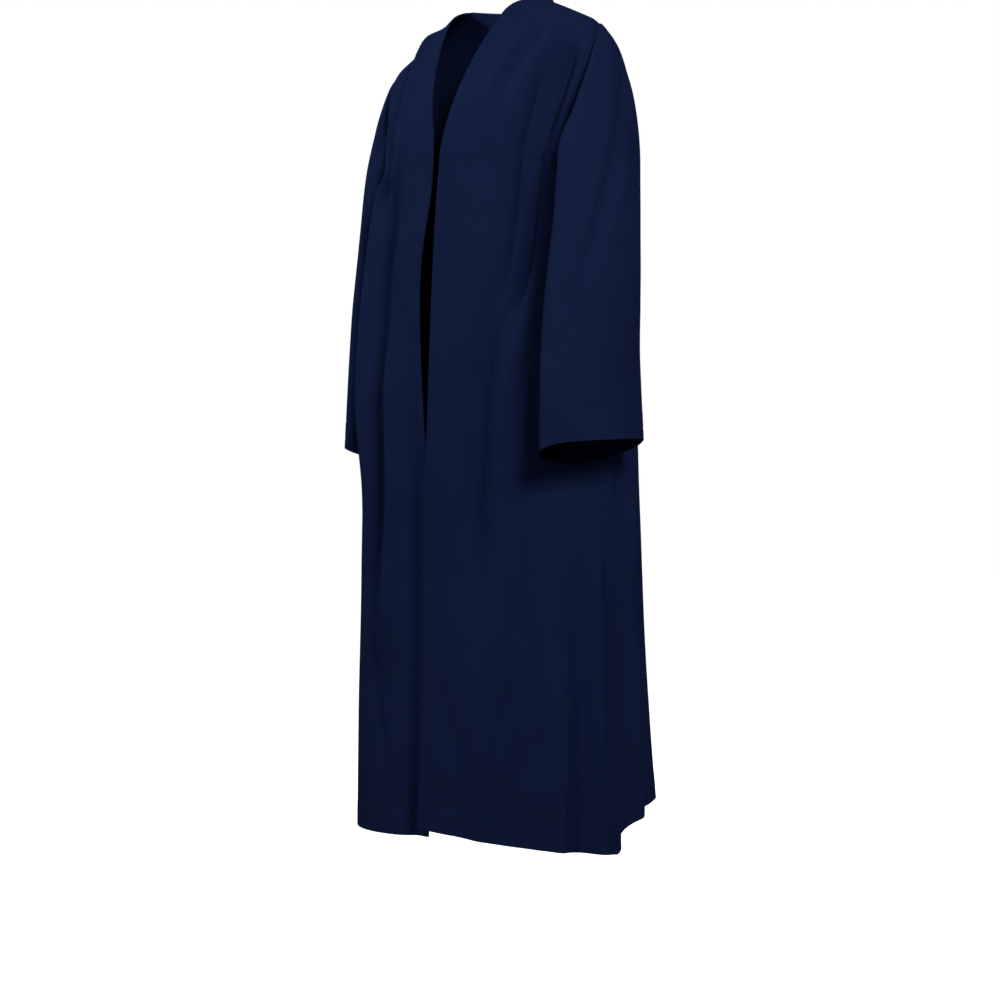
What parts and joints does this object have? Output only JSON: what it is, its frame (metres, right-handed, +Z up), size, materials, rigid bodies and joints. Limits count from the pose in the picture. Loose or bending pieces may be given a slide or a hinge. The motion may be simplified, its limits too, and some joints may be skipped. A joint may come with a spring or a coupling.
{
  "type": "prayer robe",
  "caption": "Long open-fronted collarless navy prayer robe with wide straight sleeves, hollow and hanging as worn.",
  "frame": {"origin": "centre of the neck, level with the neck ends of the shoulder seams", "axes": "+Z up, -Y out of the robe's front, +X towards the robe's own left sleeve"},
  "size_m": [0.6537, 0.4061, 1.3377],
  "materials": {
    "navy_cloth": "smooth fine matt cloth with a soft sheen"
  },
  "bodies": {
    "root": {"front_left": "navy_cloth", "front_right": "navy_cloth", "back": "navy_cloth", "sleeve_left": "navy_cloth", "sleeve_right": "navy_cloth"}
  },
  "joints": []
}
